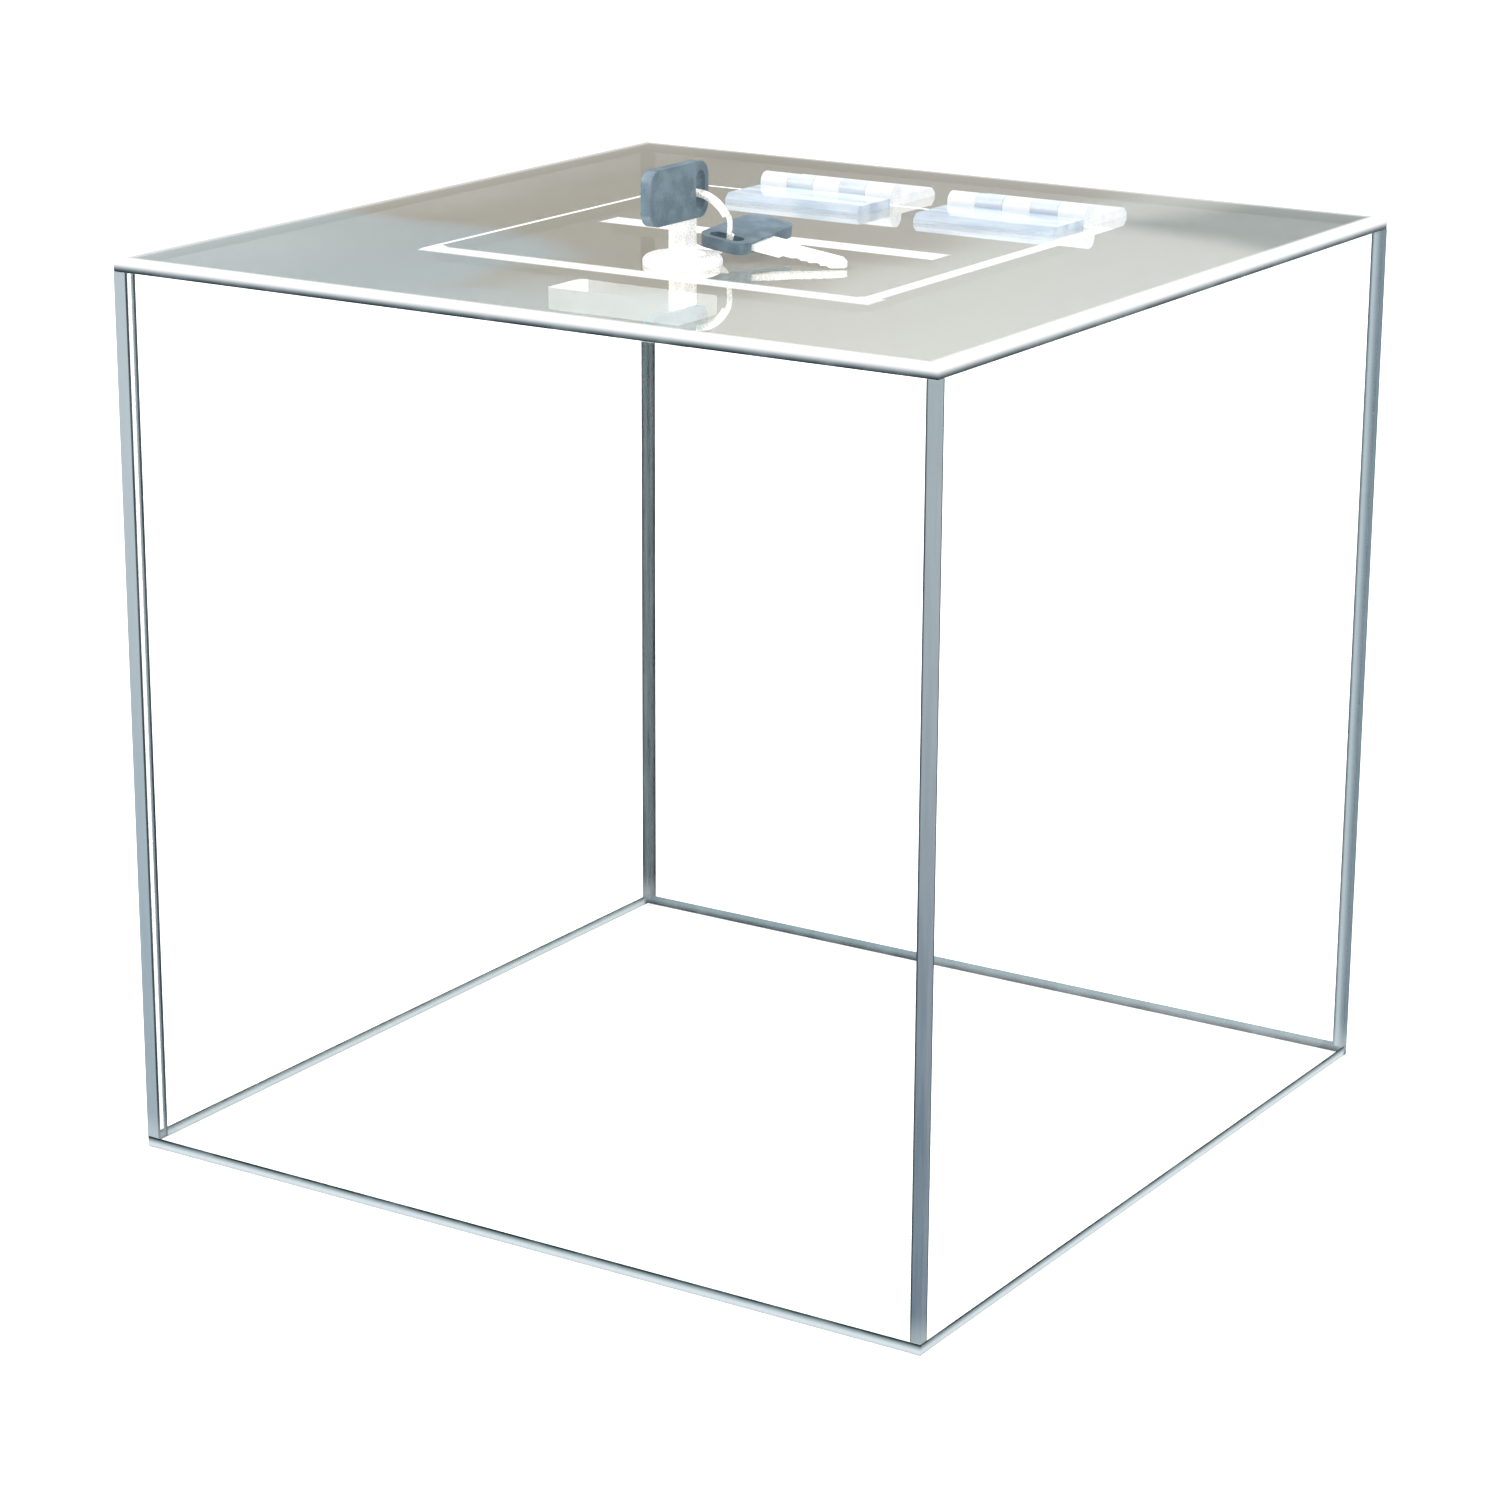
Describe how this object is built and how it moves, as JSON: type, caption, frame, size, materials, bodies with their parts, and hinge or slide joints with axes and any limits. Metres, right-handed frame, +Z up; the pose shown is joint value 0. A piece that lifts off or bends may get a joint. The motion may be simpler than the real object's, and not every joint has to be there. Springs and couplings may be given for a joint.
{
  "type": "acrylic display cube",
  "caption": "Clear acrylic cube with a hinged trap door in its top, a slot through the door and a keyed cam lock.",
  "frame": {"origin": "centre of the underside of the base panel", "axes": "+Z up; -Y towards the lock side of the door, +Y towards its hinges, X along the hinge axis"},
  "size_m": [0.254, 0.254, 0.2808],
  "materials": {
    "acrylic_sheet": "clear cast acrylic, polished faces, flame-polished edges",
    "hinge_acrylic": "clear moulded acrylic",
    "nickel": "bright nickel plate",
    "zinc": "zinc-plated steel",
    "brass": "stamped brass",
    "key_plastic": "moulded dark blue-grey plastic"
  },
  "bodies": {
    "case": {"front_wall": "acrylic_sheet", "back_wall": "acrylic_sheet", "left_wall": "acrylic_sheet", "right_wall": "acrylic_sheet", "base_panel": "acrylic_sheet", "top_panel": "acrylic_sheet", "lock_keeper": "acrylic_sheet", "hinge_left_case_leaf": "hinge_acrylic", "hinge_left_pin": "hinge_acrylic", "hinge_right_case_leaf": "hinge_acrylic", "hinge_right_pin": "hinge_acrylic"},
    "door": {"door_panel": "acrylic_sheet", "hinge_left_door_leaf": "hinge_acrylic", "hinge_right_door_leaf": "hinge_acrylic", "lock_body": "nickel", "lock_spur_washer": "zinc", "lock_nut": "zinc"},
    "plug": {"lock_plug": "nickel", "lock_wafer_1": "brass", "lock_wafer_2": "brass", "lock_wafer_3": "brass", "lock_wafer_4": "brass", "lock_stop_washer": "zinc", "lock_cam": "zinc", "cam_spring_washer": "zinc", "cam_screw": "zinc"},
    "key_1": {"key_1_blade": "nickel", "key_1_bow": "key_plastic"},
    "ring": {"key_ring": "nickel"},
    "key_2": {"key_2_blade": "nickel", "key_2_bow": "key_plastic"}
  },
  "joints": [
    {"name": "door_hinge", "type": "hinge", "parent": "case", "child": "door", "pos_m": [0, 0.0655, 0.2572], "axis": [-1, 0, 0], "range_deg": [0, 180]},
    {"name": "lock_turn", "type": "hinge", "parent": "door", "child": "plug", "pos_m": [0.002, -0.047, 0.254], "axis": [0, 0, 1], "range_deg": [0, 90]},
    {"name": "key_slide", "type": "slide", "parent": "plug", "child": "key_1", "axis": [0, 0, 1], "range_m": [0, 0.018]},
    {"name": "ring_swing", "type": "hinge", "parent": "key_1", "child": "ring", "pos_m": [0.002, -0.0409, 0.27228], "axis": [1, 0, 0], "range_deg": [0, 60]},
    {"name": "key_2_swing", "type": "hinge", "parent": "ring", "child": "key_2", "pos_m": [0.002, -0.03782, 0.26382], "axis": [0, -0.9397, -0.342], "range_deg": [0, 60]}
  ]
}
